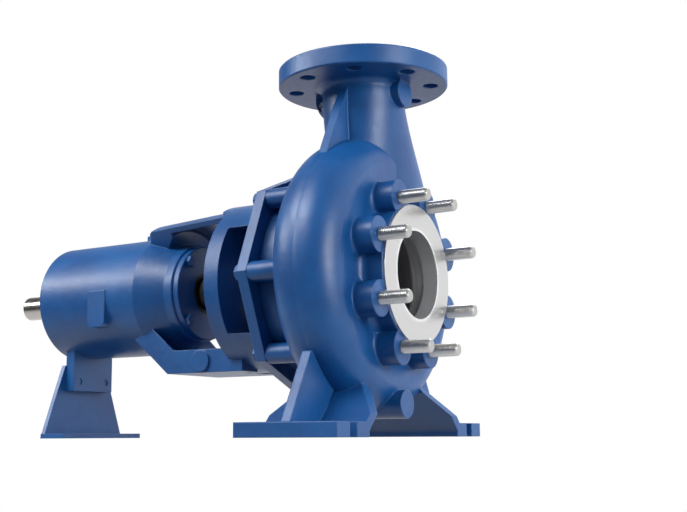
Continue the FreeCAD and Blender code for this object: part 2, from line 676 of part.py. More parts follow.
def bearing_bracket():
    """Bearing housing with its nose, the two arms, the oiler pad and the lug for the support foot."""
    body = spun([(-HOUSING_END, 0.0), (-HOUSING_END, HOUSING_RADIUS - 2.5),
                 (-HOUSING_END + 0.7, HOUSING_RADIUS - 0.7, -HOUSING_END + 2.5, HOUSING_RADIUS),
                 (-HOUSING_SHOULDER, HOUSING_RADIUS), (-NOSE_START, NOSE_RADIUS),
                 (-NOSE_END - 1.5, NOSE_RADIUS), (-NOSE_END, NOSE_RADIUS - 1.5), (-NOSE_END, 0.0)])
    shapes = [body, lower_arm()] + arm_corners() + upper_arm() + arm_feet()
    half = OILER_PAD_WIDTH / 2
    pad_face = HOUSING_RADIUS + 1.0
    low = AXIS - OILER_PAD_HEIGHT + 4.0
    pad = block(-OILER_PAD_STATION - half, -OILER_PAD_STATION + half, -pad_face, -20,
                low, low + OILER_PAD_HEIGHT)
    pad = pad.makeFillet(7.0, [e for e in pad.Edges if e.BoundBox.ZMax < low + 1
                               and abs(e.Vertexes[0].Y - e.Vertexes[1].Y) > 20])
    shapes.append(pad)
    shapes.append(block(-SUPPORT_STATION - LUG_THICKNESS, -SUPPORT_STATION, -LUG_WIDTH / 2, LUG_WIDTH / 2,
                        LUG_BOTTOM, AXIS - 0.6 * HOUSING_RADIUS))
    boss_depth = AXIS - LANTERN_RADIUS + ARM_THICKNESS / 2
    shapes.append(Part.makeCylinder(ARM_BOSS / 2, 8.0, V(-ARM_BOSS_STATION, -ARM_WIDTH / 2 - 2.5, boss_depth),
                                    V(0, 1, 0)))
    shapes.append(Part.makeCylinder(BREATHER_RADIUS + 3.0, BREATHER_BOSS - AXIS - SUMP_RADIUS,
                                    V(-BREATHER_STATION, 0, AXIS + SUMP_RADIUS)))
    bracket = union(shapes)
    bevel = SUMP_RADIUS - HOUSING_BORE
    sump_rear = -DRIVE_BEARING + BEARING_WIDTH + 9.0
    sump_front = -PUMP_BEARING - 9.0
    sump = spun([(sump_rear, 0.0), (sump_rear, HOUSING_BORE), (sump_rear + bevel / 2, SUMP_RADIUS),
                 (sump_front - bevel / 2, SUMP_RADIUS), (sump_front, HOUSING_BORE), (sump_front, 0.0)])
    tools = [rod(-HOUSING_END - 1, -NOSE_END + 1, HOUSING_BORE), sump,
             Part.makeCylinder(BREATHER_RADIUS - 3.0, 40, V(-BREATHER_STATION, 0, BREATHER_BOSS - 30)),
             rod(-HOUSING_END - 1, -DRIVE_BEARING + BEARING_WIDTH, BEARING_OUTSIDE / 2),
             rod(-PUMP_BEARING, -NOSE_END + 1, BEARING_OUTSIDE / 2)]
    for y, z in cover_places():
        tools.append(rod(-NOSE_END - 16, -NOSE_END + 1, COVER_SCREW / 2, y, z))
        tools.append(rod(-HOUSING_END - 1, -HOUSING_END + 16, COVER_SCREW / 2, y, z))
    for y, z in bracket_screw_places():
        tools.append(rod(-LANTERN_END - 26, -LANTERN_END + 1, BRACKET_SCREW / 2, y, z))
    for side in (-1, 1):
        tools.append(rod(-SUPPORT_STATION - LUG_THICKNESS - 1, -SUPPORT_STATION + 1, SUPPORT_BOLT / 2,
                         side * SUPPORT_BOLT_SPAN / 2, SUPPORT_BOLT_HEIGHT))
    return bracket.cut(tools)


# Casing cover, its gasket and the seal cover

def casing_cover():
    """Disc clamped in the casing, with the seal chamber reaching back through the lantern."""
    inner = SLEEVE_RADIUS + 3.0
    lip = REAR_FACE - COVER_STEP + GASKET
    disc = spun([(-COVER_FRONT, inner + 14.0), (-COVER_FRONT, CHAMBER_BORE - SLIP * 4),
                 (-lip, CHAMBER_BORE - SLIP * 4), (-lip, COVER_BORE - SLIP * 4),
                 (-REAR_FACE, COVER_BORE - SLIP * 4), (-REAR_FACE, SEAL_HUB + 12.0 - SLIP * 4),
                 (-REAR_FACE - 5.0, SEAL_HUB + 12.0 - SLIP * 4),
                 (-REAR_FACE - 16.0, SEAL_HUB), (-SEAL_CHAMBER_END, SEAL_HUB),
                 (-SEAL_CHAMBER_END, SEAL_CHAMBER), (-REAR_FACE - 6.0, SEAL_CHAMBER),
                 (-REAR_FACE + 4.0, inner + 14.0)])
    return disc.cut([rod(-SEAL_CHAMBER_END - 1, -SEAL_CHAMBER_END + 16.0, COVER_SCREW / 2, y, z)
                     for y, z in seal_screw_places()])


def cover_gasket():
    rear = REAR_FACE - COVER_STEP + GASKET
    return tube(-rear, -rear + GASKET, COVER_BORE - 0.4, CHAMBER_BORE + 0.4)


def seal_screw_places():
    return around(4, SEAL_SCREW_CIRCLE / 2, lambda y, z: (y, z), 0)


def seal_cover():
    """Ring that closes the seal chamber and holds the stationary seal ring."""
    back = SEAL_CHAMBER_END + SEAL_PLATE
    body = spun([(-SEAL_CHAMBER_END, SLEEVE_RADIUS + 9.0), (-SEAL_CHAMBER_END, SEAL_HUB),
                 (-back + 1.5, SEAL_HUB), (-back, SEAL_HUB - 1.5), (-back, SLEEVE_RADIUS + 1.5),
                 (-SEAL_CHAMBER_END - 7.0, SLEEVE_RADIUS + 1.5),
                 (-SEAL_CHAMBER_END - 7.0, SLEEVE_RADIUS + 9.0)])
    nose = tube(-SEAL_CHAMBER_END, -SEAL_CHAMBER_END + 4.0, SEAL_CHAMBER - SLIP, SLEEVE_RADIUS + 9.0)
    body = body.fuse(nose).removeSplitter()
    return body.cut([rod(-back - 1, -SEAL_CHAMBER_END + 1, COVER_SCREW / 2 + HOLE_PLAY, y, z)
                     for y, z in seal_screw_places()])


def seal_screws():
    back = SEAL_CHAMBER_END + SEAL_PLATE
    return [hex_bolt(-back, -SEAL_CHAMBER_END + 14.0, COVER_SCREW, COVER_SCREW_HEAD, y, z)
            for y, z in seal_screw_places()]


def seal_seat():
    """Stationary seal ring, held in the seal cover."""
    back = SEAL_CHAMBER_END + 7.0
    return spun([(-back, SLEEVE_RADIUS + 1.5), (-back, SLEEVE_RADIUS + 9.0 - SLIP),
                 (-SEAL_CHAMBER_END + 6.0, SLEEVE_RADIUS + 9.0 - SLIP),
                 (-SEAL_CHAMBER_END + 9.0, SLEEVE_RADIUS + 6.0),
                 (-SEAL_CHAMBER_END + 9.0, SLEEVE_RADIUS + 1.5)])


# Rotor

def shaft():
    """Stepped shaft: coupling end, two bearing seats with a thicker middle, sleeve and impeller seats."""
    tip = -SHAFT_REACH
    shoulder = tip + SHAFT_END_LENGTH
    end = SHAFT_END / 2
    neck_radius = SHAFT_NECK / 2
    seat = BEARING_BORE / 2
    nut_start = -DRIVE_BEARING - NUT_WIDTH - 1.0
    body = spun([(tip, 0.0), (tip, end - 1.6), (tip + 1.6, end), (shoulder, end), (shoulder, neck_radius),
                 (nut_start, neck_radius), (nut_start, NUT_THREAD / 2), (-DRIVE_BEARING, NUT_THREAD / 2),
                 (-DRIVE_BEARING, seat), (-DRIVE_BEARING + BEARING_WIDTH, seat),
                 (-DRIVE_BEARING + BEARING_WIDTH, SHAFT_MIDDLE / 2), (-PUMP_BEARING, SHAFT_MIDDLE / 2),
                 (-PUMP_BEARING, seat), (-PUMP_BEARING + BEARING_WIDTH, seat),
                 (-PUMP_BEARING + BEARING_WIDTH, neck_radius), (-SLEEVE_END, neck_radius),
                 (-SLEEVE_END, SLEEVE_SEAT / 2), (-HUB_REAR, SLEEVE_SEAT / 2),
                 (-HUB_REAR, IMPELLER_SEAT / 2), (-HUB_FRONT - 1.0, IMPELLER_SEAT / 2),
                 (-HUB_FRONT - 1.0, 0.0)])
    half = KEYWAY_WIDTH / 2
    floor = AXIS + end - KEYWAY_DEPTH
    x0 = tip + KEYWAY_MARGIN + half
    x1 = shoulder - KEYWAY_MARGIN - half
    tools = [block(x0, x1, -half, half, floor, AXIS + SHAFT_END), impeller_key(),
             Part.makeCone(5.0, 0.0, 5.0, V(tip, 0, AXIS), V(1, 0, 0)),
             rod(-HUB_FRONT - SCREW_DEPTH, -HUB_FRONT, CENTRE_SCREW / 2)]
    for x in (x0, x1):
        tools.append(Part.makeCylinder(half, SHAFT_END, V(x, 0, floor)))
    return body.cut(tools)


def impeller_key():
    """Parallel key under the impeller hub."""
    half = KEY_WIDTH / 2
    low = AXIS + IMPELLER_SEAT / 2 - KEY_WIDTH / 2
    return block(-HUB_REAR + 4.0, -HUB_FRONT - 4.0, -half, half, low, low + KEY_WIDTH - 1.0)


def blade():
    """Curved blade of even thickness, rooted in the hub and standing forward from the disc."""
    half = VANE_THICKNESS / 2
    x0 = -DISC_FRONT - 2.0
    inner = IMPELLER_HUB - 3.0
    outer = IMPELLER_RADIUS + 4.0
    middle = (inner + outer) / 2
    bow = VANE_BOW * IMPELLER_RADIUS
    low = [V(x0, inner, AXIS - half), V(x0, middle, AXIS + bow - half), V(x0, outer, AXIS - half)]
    high = [V(x0, outer, AXIS + half), V(x0, middle, AXIS + bow + half), V(x0, inner, AXIS + half)]
    edges = [Part.Arc(*low).toShape(), Part.makeLine(low[2], high[0]),
             Part.Arc(*high).toShape(), Part.makeLine(high[2], low[0])]
    solid = Part.Face(Part.Wire(edges)).extrude(V(VANE_HEIGHT + 2.0, 0, 0))
    return solid.common(rod(x0, -VANE_FRONT, IMPELLER_RADIUS))


def vortex_impeller():
    """Open impeller: disc, hub and curved blades around it."""
    quarter = sqrt(0.5)
    hub = spun([(-HUB_REAR, 0.0), (-HUB_REAR, IMPELLER_HUB - 2.0), (-DISC_REAR, IMPELLER_HUB),
                (-DISC_REAR, IMPELLER_RADIUS), (-DISC_FRONT - 2.0, IMPELLER_RADIUS),
                (-DISC_FRONT, IMPELLER_RADIUS - 2.0), (-DISC_FRONT, IMPELLER_HUB + HUB_ROOT),
                (-DISC_FRONT + HUB_ROOT * (1 - quarter), IMPELLER_HUB + HUB_ROOT * (1 - quarter),
                 -DISC_FRONT + HUB_ROOT, IMPELLER_HUB),
                (-HUB_FRONT, IMPELLER_HUB - 1.0), (-HUB_FRONT, 0.0)])
    first = blade()
    blades = []
    for i in range(VANE_COUNT):
        turned = first.copy()
        turned.rotate(V(0, 0, AXIS), V(1, 0, 0), 360.0 * i / VANE_COUNT)
        blades.append(turned)
    bore = rod(-HUB_REAR - 1.0, -HUB_FRONT + 1.0, IMPELLER_SEAT / 2)
    return hub.fuse(blades).cut([bore, impeller_key()])


def impeller_screw():
    """Centre screw with its washer, which hold the impeller."""
    seat = -HUB_FRONT
    head = seat + 4.0
    washer = spun([(seat, 0.0), (seat, IMPELLER_HUB - 4.0), (head - 1.0, IMPELLER_HUB - 4.0),
                   (head, IMPELLER_HUB - 5.0), (head, 0.0)])
    screw = hex_bolt(head, seat - SCREW_DEPTH + 2.0, CENTRE_SCREW, 19.0, 0.0, AXIS)
    return washer.fuse(screw).removeSplitter()


def shaft_sleeve():
    """Protecting sleeve between the impeller hub and the shaft shoulder."""
    return tube(-SLEEVE_END, -HUB_REAR, SLEEVE_RADIUS, SLEEVE_SEAT / 2)


def seal_face():
    """Turning ring of the mechanical seal."""
    rear = -SEAL_CHAMBER_END + 9.0 + SEAL_RUN
    return spun([(rear, SLEEVE_RADIUS), (rear, SLEEVE_RADIUS + 6.0), (rear + 3.0, SLEEVE_RADIUS + 8.0),
                 (SEAL_SPRING_REAR, SLEEVE_RADIUS + 8.0), (SEAL_SPRING_REAR, SLEEVE_RADIUS)])


def seal_spring():
    """Coils between the turning ring and the collar, each touching the next."""
    wire = (SEAL_SPRING_FRONT - SEAL_SPRING_REAR) / SEAL_COILS
    return [tube(SEAL_SPRING_REAR + wire * i, SEAL_SPRING_REAR + wire * (i + 1),
                 SLEEVE_RADIUS + (6.5 if i % 2 else 5.5), SLEEVE_RADIUS + 2.0) for i in range(SEAL_COILS)]


def seal_collar():
    return tube(SEAL_SPRING_FRONT, SEAL_SPRING_FRONT + 8.0, SLEEVE_RADIUS + 10.0, SLEEVE_RADIUS)


def deflector():
    """Splash ring that turns with the shaft in front of the bearing cover."""
    rear = -DEFLECTOR_STATION - DEFLECTOR_WIDTH
    inner = SHAFT_NECK / 2
    return spun([(rear, inner), (rear, DEFLECTOR_RADIUS - 1.0), (rear + 1.0, DEFLECTOR_RADIUS),
                 (rear + 3.0, DEFLECTOR_RADIUS), (-DEFLECTOR_STATION, inner + 1.5),
                 (-DEFLECTOR_STATION, inner)])


# Bearings

def bearing(rear):
    """Deep groove ball bearing: outer ring, inner ring, and the balls in their cage."""
    front = rear + BEARING_WIDTH
    middle = (rear + front) / 2
    pitch = (BEARING_BORE + BEARING_OUTSIDE) / 4
    shoulder = 0.27 * BALL
    outside = BEARING_OUTSIDE / 2
    bore = BEARING_BORE / 2
    groove = Part.makeTorus(pitch, BALL / 2 + BALL_PLAY, V(middle, 0, AXIS), V(1, 0, 0))
    outer = tube(rear, front, outside, pitch + shoulder).cut(groove)
    inner = tube(rear, front, pitch - shoulder, bore).cut(groove)
    balls = []
    for i in range(BALL_COUNT):
        balls.append(Part.makeSphere(BALL / 2, at(middle, 360.0 * (i + 0.5) / BALL_COUNT, pitch)))
    half = 0.6 * BALL
    cage = tube(middle - half, middle + half, pitch + 1.5, pitch - 1.5).cut(balls)
    return outer, inner, balls + [cage]


def lock_nut():
    """Slotted nut that holds the drive end bearing on the shaft."""
    rear = -DRIVE_BEARING - NUT_WIDTH
    nut = tube(rear, -DRIVE_BEARING, NUT_RADIUS, NUT_THREAD / 2)
    slots = []
    for i in range(4):
        slot = block(rear - 1, -DRIVE_BEARING + 1, -NUT_RADIUS - 1, -NUT_RADIUS + 2.5, AXIS - 3.5, AXIS + 3.5)
        slot.rotate(V(0, 0, AXIS), V(1, 0, 0), 90.0 * i)
        slots.append(slot)
    return nut.cut(slots)


def cover_places():
    return around(4, COVER_CIRCLE / 2, lambda y, z: (y, z), 45)


def bearing_cover(face, sense, depth):
    """Flanged cover with a spigot and the seat of its lip seal; sense +1 points to the pump."""
    lip = LIP_SEAL_RADIUS
    flange = COVER_FLANGE / 2
    end = face - sense * (depth - 0.3)
    spigot = BEARING_OUTSIDE / 2 - SLIP
    top = face + sense * COVER_THICKNESS
    cover = spun([(end, NUT_RADIUS + 4.0), (end, spigot), (face, spigot), (face, flange),
                  (top - sense, flange), (top, flange - 1.0), (top, lip), (face, lip),
                  (face, lip - 4.0), (face - sense * 2.0, lip - 4.0), (face - sense * 2.0, NUT_RADIUS + 4.0)])
    return cover.cut([rod(face - 20, face + 20, COVER_SCREW / 2 + HOLE_PLAY, y, z)
                      for y, z in cover_places()])


def lip_seal(face, sense):
    """Shaft seal ring pressed into the bearing cover."""
    rear = face
    front = face + sense * (COVER_THICKNESS - 0.5)
    lip = SHAFT_NECK / 2 + SEAL_RUN
    return spun([(rear, lip + 5.0), (rear, LIP_SEAL_RADIUS), (front, LIP_SEAL_RADIUS), (front, lip + 3.0),
                 (front - sense * 1.5, lip + 2.0), (rear + sense * 3.5, lip),
                 (rear + sense * 1.5, lip + 1.5)])


def cover_screws(face, sense):
    seat = face + sense * COVER_THICKNESS
    return [hex_bolt(seat, face - sense * 14.0, COVER_SCREW, COVER_SCREW_HEAD, y, z)
            for y, z in cover_places()]


def breather_plug():
    """Vent plug on top of the oil room."""
    cap = Part.makeCylinder(BREATHER_RADIUS, BREATHER_HEIGHT, V(-BREATHER_STATION, 0, BREATHER_BOSS))
    cap = cap.makeChamfer(1.0, [cap.Edges[0]])
    stem = Part.makeCylinder(BREATHER_RADIUS - 3.0, 9.0, V(-BREATHER_STATION, 0, BREATHER_BOSS - 9.0))
    return cap.fuse(stem)


def bracket_screws():
    """Screws through the lantern ring into the arms of the bracket."""
    return [hex_bolt(-RING_FRONT, -LANTERN_END - 22.0, BRACKET_SCREW, JOINT_HEAD, y, z)
            for y, z in bracket_screw_places()]


# Support foot

def support_foot():
    """Bent sheet: an upright tapering plate and a flange on the floor."""
    x0 = -SUPPORT_STATION - LUG_THICKNESS - SHEET
    x1 = x0 + SHEET
    half = SUPPORT_WIDTH / 2
    waist = half - 22.0
    neck_half = LUG_WIDTH / 2 + 1.5
    shoulder = LUG_BOTTOM - 2.5
    crown = SUPPORT_TOP - 3.0
    notch = neck_half - 6.0
    outline = [V(x0, -half, 0), V(x0, half, 0), V(x0, waist, shoulder), V(x0, neck_half, crown),
               V(x0, notch, crown), V(x0, notch, SUPPORT_TOP), V(x0, -neck_half, SUPPORT_TOP),
               V(x0, -waist, shoulder)]
    upright = prism(outline, V(SHEET, 0, 0))
    flange = block(x0 + 1, x0 + SUPPORT_BASE, -half, half, 0, SHEET)
    tools = [Part.makeCylinder(SUPPORT_HOLE / 2, SHEET + 2, V((x1 + x0 + SUPPORT_BASE) / 2, 0, -1))]
    for side in (-1, 1):
        tools.append(rod(x0 - 1, x1 + 1, SUPPORT_BOLT / 2 + HOLE_PLAY, side * SUPPORT_BOLT_SPAN / 2,
                         SUPPORT_BOLT_HEIGHT))
    return upright.fuse(flange).cut(tools)


def support_bolts():
    seat = -SUPPORT_STATION - LUG_THICKNESS - SHEET
    return [hex_bolt(seat, -SUPPORT_STATION - 1.0, SUPPORT_BOLT, COVER_SCREW_HEAD,
                     side * SUPPORT_BOLT_SPAN / 2, SUPPORT_BOLT_HEIGHT) for side in (-1, 1)]


# Files, one for each named piece

save("volute_casing", volute_casing())
save("suction_studs", suction_studs())
save("casing_gasket", cover_gasket())
save("casing_cover", casing_cover())
save("seal_cover", seal_cover())
save("seal_cover_screws", seal_screws())
save("seal_seat", seal_seat())
save("lantern", lantern())
save("lantern_bolts", lantern_bolts())
save("bearing_bracket", bearing_bracket())
save("bracket_screws", bracket_screws())
save("breather_plug", breather_plug())
save("support_foot", support_foot())
save("support_bolts", support_bolts())

ENDS = (("pump_end", -PUMP_BEARING, -NOSE_END, 1, PUMP_BEARING - BEARING_WIDTH - NOSE_END),
        ("drive_end", -DRIVE_BEARING, -HOUSING_END, -1, HOUSING_END - DRIVE_BEARING))
for end, rear, face, sense, depth in ENDS:
    outer, inner, balls = bearing(rear)
    save("bearing_outer_ring_" + end, outer)
    save("bearing_inner_ring_" + end, inner)
    save("ball_set_" + end, balls)
    save("bearing_cover_" + end, bearing_cover(face, sense, depth))
    save("bearing_cover_screws_" + end, cover_screws(face, sense))
    save("lip_seal_" + end, lip_seal(face, sense))

save("shaft", shaft())
save("lock_nut", lock_nut())
save("deflector", deflector())
save("shaft_sleeve", shaft_sleeve())
save("seal_collar", seal_collar())
save("seal_spring", seal_spring())
save("seal_face", seal_face())
save("impeller", vortex_impeller())
save("impeller_key", impeller_key())
save("impeller_screw", impeller_screw())
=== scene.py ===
# %% [markdown]
# A bare shaft vortex pump in a photo studio. The solids come from the CAD frame and stay where they
# are. Blender adds what a solid can't carry: the enamel on rough castings, the bare machined faces,
# real threads on the studs, the light and the camera.

# %% Load the frame
import json
from math import cos, pi, sin

import bpy
from mathutils import Matrix, Vector


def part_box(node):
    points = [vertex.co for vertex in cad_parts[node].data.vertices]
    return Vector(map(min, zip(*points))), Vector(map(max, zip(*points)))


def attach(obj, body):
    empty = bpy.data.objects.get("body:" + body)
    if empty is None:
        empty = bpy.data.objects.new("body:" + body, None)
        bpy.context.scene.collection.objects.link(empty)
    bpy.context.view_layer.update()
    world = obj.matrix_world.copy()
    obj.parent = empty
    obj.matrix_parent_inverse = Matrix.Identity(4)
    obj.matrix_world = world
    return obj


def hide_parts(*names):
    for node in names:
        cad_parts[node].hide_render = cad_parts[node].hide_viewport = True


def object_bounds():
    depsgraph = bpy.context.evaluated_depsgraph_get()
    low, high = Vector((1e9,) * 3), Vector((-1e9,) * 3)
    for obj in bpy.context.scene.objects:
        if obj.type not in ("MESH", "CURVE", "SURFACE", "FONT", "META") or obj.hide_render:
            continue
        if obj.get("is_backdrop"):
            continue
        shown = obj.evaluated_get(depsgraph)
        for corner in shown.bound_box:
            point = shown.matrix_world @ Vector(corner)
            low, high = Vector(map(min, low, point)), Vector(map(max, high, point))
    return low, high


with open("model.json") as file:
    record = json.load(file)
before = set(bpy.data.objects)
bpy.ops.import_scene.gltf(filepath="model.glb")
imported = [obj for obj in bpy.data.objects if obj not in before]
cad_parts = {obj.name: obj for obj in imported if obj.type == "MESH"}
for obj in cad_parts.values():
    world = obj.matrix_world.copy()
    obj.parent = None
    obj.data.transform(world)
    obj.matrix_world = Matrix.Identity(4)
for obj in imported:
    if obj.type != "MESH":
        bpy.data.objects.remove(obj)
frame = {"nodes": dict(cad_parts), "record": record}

nodes = frame["nodes"]
cad_box = [list(corner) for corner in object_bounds()]
print("CAD nodes:", len(nodes), "box in metres:", [[round(v, 3) for v in c] for c in cad_box])

# %% [markdown]
# Some finishes depend on where a point lies, such as the bare ring around the suction mouth. Where
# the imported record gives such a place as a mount, it is read from there, so that the finish follows
# the solids. The few places that no mount gives are named here in metres.

# %% Places on the casing
mounts = {mount["name"]: mount for mount in frame["record"]["mounts"]}
suction = mounts["suction_flange"]
SUCTION_FACE, _, AXIS_HEIGHT = suction["pos_m"]
STUD_RADIUS = suction["dims"]["stud_r_mm"] / 1000
STUD_CIRCLE = suction["dims"]["pcd_mm"] / 2000
STUD_COUNT = suction["dims"]["count"]
SUCTION_BORE = mounts["suction_bore"]["dims"]["r_mm"] / 1000
DISCHARGE_FACE = mounts["discharge_flange"]["pos_m"][2]
DISCHARGE_BORE = mounts["discharge_bore"]["dims"]["r_mm"] / 1000
STUD_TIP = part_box("suction_studs")[1][0]
RING_RADIUS = 0.079           # outside of the machined suction ring
RING_STEP = 0.003             # how far it stands out of the casting
SHELL_LIFT = 0.004            # the shell's middle lies this much above the shaft
CHAMBER_RADIUS = 0.1485       # just outside the wall of the waterway
CHAMBER_HALF = 0.030          # half its width along the shaft
BACK_RADIUS = 0.105           # just outside the seat of the casing cover
print("shaft axis at", AXIS_HEIGHT, "suction face at", SUCTION_FACE, "stud tips at", round(STUD_TIP, 4))

# %% [markdown]
# Materials are built from nodes in code. Written out one by one, nodes and links hide the idea, so
# small helpers keep them readable: one adds a node, one gives a socket a number or a link, and two
# start a group and a material.

# %% Helpers for nodes, groups and materials
def add(tree, kind, values=None, **settings):
    """New node in the tree; values go to its inputs by name or number."""
    node = tree.nodes.new(kind)
    for key, value in settings.items():
        setattr(node, key, value)
    for key, value in (values or {}).items():
        node.inputs[key].default_value = value
    return node


def feed(tree, value, socket):
    """Gives the socket a link, or a plain number or colour."""
    if isinstance(value, bpy.types.NodeSocket):
        tree.links.new(value, socket)
    else:
        socket.default_value = value


def new_group(name, inputs, outputs):
    """Empty shader node group with its sockets."""
    group = bpy.data.node_groups.new(name, "ShaderNodeTree")
    for label, kind, value in inputs:
        socket = group.interface.new_socket(name=label, in_out="INPUT", socket_type=kind)
        socket.default_value = value
    for label, kind in outputs:
        group.interface.new_socket(name=label, in_out="OUTPUT", socket_type=kind)
    start = group.nodes.new("NodeGroupInput")
    end = group.nodes.new("NodeGroupOutput")
    return group, start, end


def new_material(name):
    """Material with one Principled BSDF, its tree and that shader."""
    material = bpy.data.materials.new(name)
    material.use_nodes = True
    tree = material.node_tree
    return material, tree, tree.nodes["Principled BSDF"]


def place(tree, group, **values):
    """Puts a group into a material with its own values."""
    node = tree.nodes.new("ShaderNodeGroup")
    node.node_tree = group
    for key, value in values.items():
        node.inputs[key].default_value = value
    return node


print("helpers: add, feed, new_group, new_material, place")

# %% [markdown]
# Every effect below is arithmetic on a few noises. The helpers wrap the five nodes that do it: Math,
# Map Range, Mix, Noise and Bump. The noise always sees the object's own coordinates, so it sticks to
# the casting when the shaft turns or the camera moves.

# %% Helpers for arithmetic
MIX_SOCKETS = {"RGBA": (6, 2), "FLOAT": (2, 0), "VECTOR": (4, 1)}   # first input, output


def maths(tree, operation, *values, clamp=False):
    node = add(tree, "ShaderNodeMath", operation=operation, use_clamp=clamp)
    for socket, value in zip(node.inputs, values):
        feed(tree, value, socket)
    return node.outputs[0]


def remap(tree, value, low, high, to_low=0.0, to_high=1.0):
    """What runs from low to high now runs from to_low to to_high, and stops there."""
    node = add(tree, "ShaderNodeMapRange", {1: low, 2: high, 3: to_low, 4: to_high})
    tree.links.new(value, node.inputs[0])
    return node.outputs[0]


def blend(tree, kind, weight, first, second):
    """Goes from first to second as the weight rises."""
    node = add(tree, "ShaderNodeMix", data_type=kind)
    low, out = MIX_SOCKETS[kind]
    tree.links.new(weight, node.inputs[0])
    feed(tree, first, node.inputs[low])
    feed(tree, second, node.inputs[low + 1])
    return node.outputs[out]


def grain(tree, scale, detail, roughness=0.5):
    texture = add(tree, "ShaderNodeTexNoise", {"Scale": scale, "Detail": detail, "Roughness": roughness})
    where = add(tree, "ShaderNodeTexCoord")
    tree.links.new(where.outputs["Object"], texture.inputs["Vector"])
    return texture.outputs[0]


def bump(tree, distance, strength, height, normal):
    node = add(tree, "ShaderNodeBump", {"Distance": distance})
    feed(tree, strength, node.inputs["Strength"])
    tree.links.new(height, node.inputs["Height"])
    tree.links.new(normal, node.inputs["Normal"])
    return node.outputs["Normal"]


print("helpers: maths, remap, blend, grain, bump")

# %% [markdown]
# Real castings have no sharp edges: the mould rounds them and the enamel fills them up. A Bevel
# modifier would need clean meshes, so the Bevel node is used instead, which bends the shading over an
# edge and leaves the mesh alone. Where its normal turns away from the plain one, an edge is near, and
# that gives a mask for paler paint on edges: partly thin, rubbed paint and partly a painted highlight.

# %% Group: rounded edges and a mask of edge wear and painted edge highlight
def make_edges():
    group, start, end = new_group(
        "rounded edges",
        [("Radius", "NodeSocketFloat", 0.001), ("Rub", "NodeSocketFloat", 0.5)],
        [("Normal", "NodeSocketVector"), ("Mask", "NodeSocketFloat")])
    link = group.links.new
    bevel = add(group, "ShaderNodeBevel", samples=6)
    link(start.outputs["Radius"], bevel.inputs["Radius"])
    plain = add(group, "ShaderNodeNewGeometry")
    likeness = add(group, "ShaderNodeVectorMath", operation="DOT_PRODUCT")
    link(bevel.outputs["Normal"], likeness.inputs[0])
    link(plain.outputs["Normal"], likeness.inputs[1])
    # this mask pales the enamel on edges: worn paint and a painted edge highlight
    bend = remap(group, likeness.outputs["Value"], 0.995, 0.80)
    patchy = maths(group, "MULTIPLY", bend, grain(group, 160.0, 3.0))
    mask = maths(group, "MULTIPLY", patchy, start.outputs["Rub"], clamp=True)
    link(bevel.outputs["Normal"], end.inputs["Normal"])
    link(mask, end.inputs["Mask"])
    return group


edges = make_edges()
print("group", edges.name, "nodes", len(edges.nodes))

# %% [markdown]
# Sand leaves a skin on cast iron that shows through the enamel: low lumps a few millimetres wide,
# and over them the fine orange peel of the sprayed coat. Both are noise, at two sizes, and go
# through Bump nodes. A wide third noise clouds the tone, and the lumps also vary the gloss a little.

# %% Group: cast skin
def make_cast_skin():
    group, start, end = new_group(
        "cast skin",
        [("Lumps", "NodeSocketFloat", 0.3), ("Peel", "NodeSocketFloat", 0.2),
         ("Normal", "NodeSocketVector", (0.0, 0.0, 0.0))],
        [("Normal", "NodeSocketVector"), ("Tone", "NodeSocketFloat"), ("Gloss", "NodeSocketFloat")])
    link = group.links.new
    lumps = grain(group, 130.0, 3.0)
    peel = grain(group, 900.0, 2.0, 0.6)
    clouds = grain(group, 14.0, 4.0, 0.6)
    low = bump(group, 0.0006, start.outputs["Lumps"], lumps, start.outputs["Normal"])
    fine = bump(group, 0.00015, start.outputs["Peel"], peel, low)
    link(fine, end.inputs["Normal"])
    link(clouds, end.inputs["Tone"])
    link(remap(group, lumps, 0.3, 0.7, -1.0, 1.0), end.inputs["Gloss"])
    return group


cast_skin = make_cast_skin()
print("group", cast_skin.name, "nodes", len(cast_skin.nodes))

# %% [markdown]
# A turned or bored face carries fine rings from the tool. Their pattern changes only with the place
# along the shaft and with the distance from it, so a noise that sees just those two numbers draws
# rings on a flange face and hoops on a bore alike.

# %% Group: turning marks
def make_turning():
    group, start, end = new_group(
        "turning marks",
        [("Height", "NodeSocketFloat", AXIS_HEIGHT), ("Fineness", "NodeSocketFloat", 900.0),
         ("Depth", "NodeSocketFloat", 0.3), ("Normal", "NodeSocketVector", (0.0, 0.0, 0.0))],
        [("Normal", "NodeSocketVector"), ("Streak", "NodeSocketFloat")])
    link = group.links.new
    where = add(group, "ShaderNodeTexCoord")
    parts = add(group, "ShaderNodeSeparateXYZ")
    link(where.outputs["Object"], parts.inputs[0])
    across = add(group, "ShaderNodeCombineXYZ")
    link(parts.outputs["Y"], across.inputs["X"])
    link(maths(group, "SUBTRACT", parts.outputs["Z"], start.outputs["Height"]), across.inputs["Y"])
    reach = add(group, "ShaderNodeVectorMath", operation="LENGTH")
    link(across.outputs[0], reach.inputs[0])
    pair = add(group, "ShaderNodeCombineXYZ")
    link(parts.outputs["X"], pair.inputs["X"])
    link(reach.outputs["Value"], pair.inputs["Y"])
    rings = add(group, "ShaderNodeTexNoise", {"Detail": 4.0, "Roughness": 0.7})
    link(pair.outputs[0], rings.inputs["Vector"])
    link(start.outputs["Fineness"], rings.inputs["Scale"])
    marks = bump(group, 0.0002, start.outputs["Depth"], rings.outputs[0], start.outputs["Normal"])
    link(marks, end.inputs["Normal"])
    link(rings.outputs[0], end.inputs["Streak"])
    return group


turning = make_turning()
print("group", turning.name, "nodes", len(turning.nodes))
